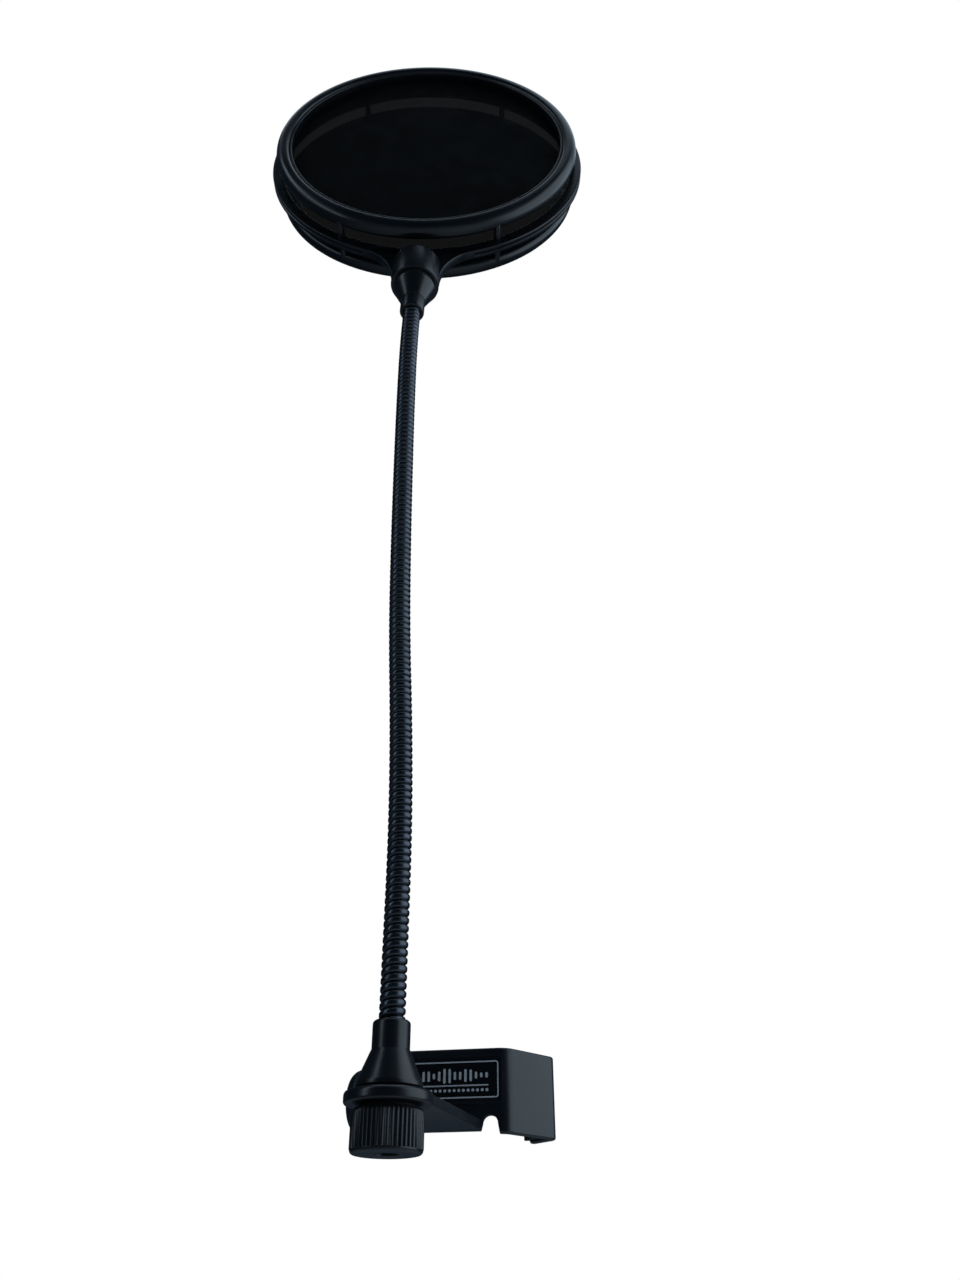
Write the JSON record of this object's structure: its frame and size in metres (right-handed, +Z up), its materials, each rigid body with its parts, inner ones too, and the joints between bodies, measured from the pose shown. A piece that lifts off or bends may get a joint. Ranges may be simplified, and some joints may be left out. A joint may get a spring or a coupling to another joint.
{
  "type": "pop filter",
  "caption": "Round pop filter screen on a bending gooseneck arm, with a knurled base swivel and a screw clamp that grips a microphone stand tube.",
  "frame": {"origin": "on the axis of the stand tube in the clamp, halfway up the clamp bracket", "axes": "+Z up along the stand tube, +X right and +Y away from the speaker, seen facing the front screen"},
  "size_m": [0.1596, 0.093, 0.5457],
  "materials": {
    "abs_black": "satin moulded ABS, black",
    "badge_black": "glossy black badge with a printed silver line motif",
    "rubber_black": "matte black rubber",
    "nylon_mesh": "black knitted nylon, stretched flat",
    "hose_steel": "gloss black plated spring steel winding",
    "zinc_steel": "bright zinc plate",
    "brass": "turned brass"
  },
  "bodies": {
    "clamp": {"clamp_bracket": "abs_black", "label_plate": "badge_black", "jaw_liner": "rubber_black", "screw_bush": "brass"},
    "pad": {"pressure_pad": "abs_black", "pad_facing": "rubber_black"},
    "screw": {"clamp_screw": "zinc_steel", "clamp_knob": "abs_black"},
    "washer": {"thrust_washer": "rubber_black"},
    "nut": {"swivel_nut": "abs_black", "nut_insert": "brass"},
    "neck_1": {"swivel_washer": "rubber_black", "lower_stud": "zinc_steel", "lower_ferrule": "abs_black", "gooseneck_1": "hose_steel"},
    "neck_2": {"gooseneck_2": "hose_steel"},
    "neck_3": {"gooseneck_3": "hose_steel"},
    "neck_4": {"gooseneck_4": "hose_steel"},
    "neck_5": {"gooseneck_5": "hose_steel"},
    "neck_6": {"gooseneck_6": "hose_steel"},
    "neck_7": {"gooseneck_7": "hose_steel"},
    "neck_8": {"gooseneck_8": "hose_steel"},
    "neck_9": {"gooseneck_9": "hose_steel", "upper_ferrule": "abs_black", "upper_stud": "zinc_steel"},
    "head": {"head_washer": "rubber_black", "carrier_hoop": "abs_black", "socket_insert": "brass", "spacer_pegs": "abs_black", "front_ring": "abs_black", "front_screen": "nylon_mesh", "front_press_ring": "abs_black", "rear_ring": "abs_black", "rear_screen": "nylon_mesh", "rear_press_ring": "abs_black"}
  },
  "joints": [
    {"name": "pad_feed", "type": "slide", "parent": "clamp", "child": "pad", "axis": [0.9848, -0.1736, 0], "range_m": [-0.006, 0.005]},
    {"name": "knob_spin", "type": "hinge", "parent": "pad", "child": "screw", "pos_m": [-0.02127, 0.00375, 0], "axis": [0.9848, -0.1736, 0], "range_deg": [-1730, 1442]},
    {"name": "nut_travel", "type": "slide", "parent": "clamp", "child": "washer", "axis": [0, 0, 1], "range_m": [-0.002, 0]},
    {"name": "nut_spin", "type": "hinge", "parent": "washer", "child": "nut", "pos_m": [-0.03282, -0.06174, -0.012], "axis": [0, 0, 1], "range_deg": [-722, 2]},
    {"name": "base_swivel", "type": "hinge", "parent": "clamp", "child": "neck_1", "pos_m": [-0.03282, -0.06174, -0.008], "axis": [0, 0, 1], "continuous": true},
    {"name": "bend_1", "type": "hinge", "parent": "neck_1", "child": "neck_2", "pos_m": [-0.03282, -0.06174, 0.0302], "axis": [1, 0, 0], "range_deg": [-25, 25]},
    {"name": "bend_2", "type": "hinge", "parent": "neck_2", "child": "neck_3", "pos_m": [-0.03282, -0.06174, 0.069], "axis": [0, 1, 0], "range_deg": [-25, 25]},
    {"name": "bend_3", "type": "hinge", "parent": "neck_3", "child": "neck_4", "pos_m": [-0.03412, -0.06174, 0.1078], "axis": [1, 0, 0], "range_deg": [-25, 25]},
    {"name": "bend_4", "type": "hinge", "parent": "neck_4", "child": "neck_5", "pos_m": [-0.03642, -0.06174, 0.1466], "axis": [0, 1, 0], "range_deg": [-25, 25]},
    {"name": "bend_5", "type": "hinge", "parent": "neck_5", "child": "neck_6", "pos_m": [-0.03752, -0.06174, 0.1854], "axis": [1, 0, 0], "range_deg": [-25, 25]},
    {"name": "bend_6", "type": "hinge", "parent": "neck_6", "child": "neck_7", "pos_m": [-0.03822, -0.06174, 0.2242], "axis": [0, 1, 0], "range_deg": [-25, 25]},
    {"name": "bend_7", "type": "hinge", "parent": "neck_7", "child": "neck_8", "pos_m": [-0.03872, -0.06174, 0.263], "axis": [1, 0, 0], "range_deg": [-25, 25]},
    {"name": "bend_8", "type": "hinge", "parent": "neck_8", "child": "neck_9", "pos_m": [-0.03882, -0.06174, 0.3018], "axis": [0, 1, 0], "range_deg": [-25, 25]},
    {"name": "head_turn", "type": "hinge", "parent": "neck_9", "child": "head", "pos_m": [-0.03762, -0.06024, 0.3412], "axis": [0.0304, 0.038, 0.9988], "continuous": true}
  ],
  "couplings": [
    {"joint": "knob_spin", "follows": "pad_feed", "rad_per_m": 5026.5},
    {"joint": "nut_spin", "follows": "nut_travel", "rad_per_m": 6283.2},
    {"joint": "bend_3", "follows": "bend_1", "ratio": 1},
    {"joint": "bend_5", "follows": "bend_1", "ratio": 1},
    {"joint": "bend_7", "follows": "bend_1", "ratio": 1},
    {"joint": "bend_4", "follows": "bend_2", "ratio": 1},
    {"joint": "bend_6", "follows": "bend_2", "ratio": 1},
    {"joint": "bend_8", "follows": "bend_2", "ratio": 1}
  ]
}
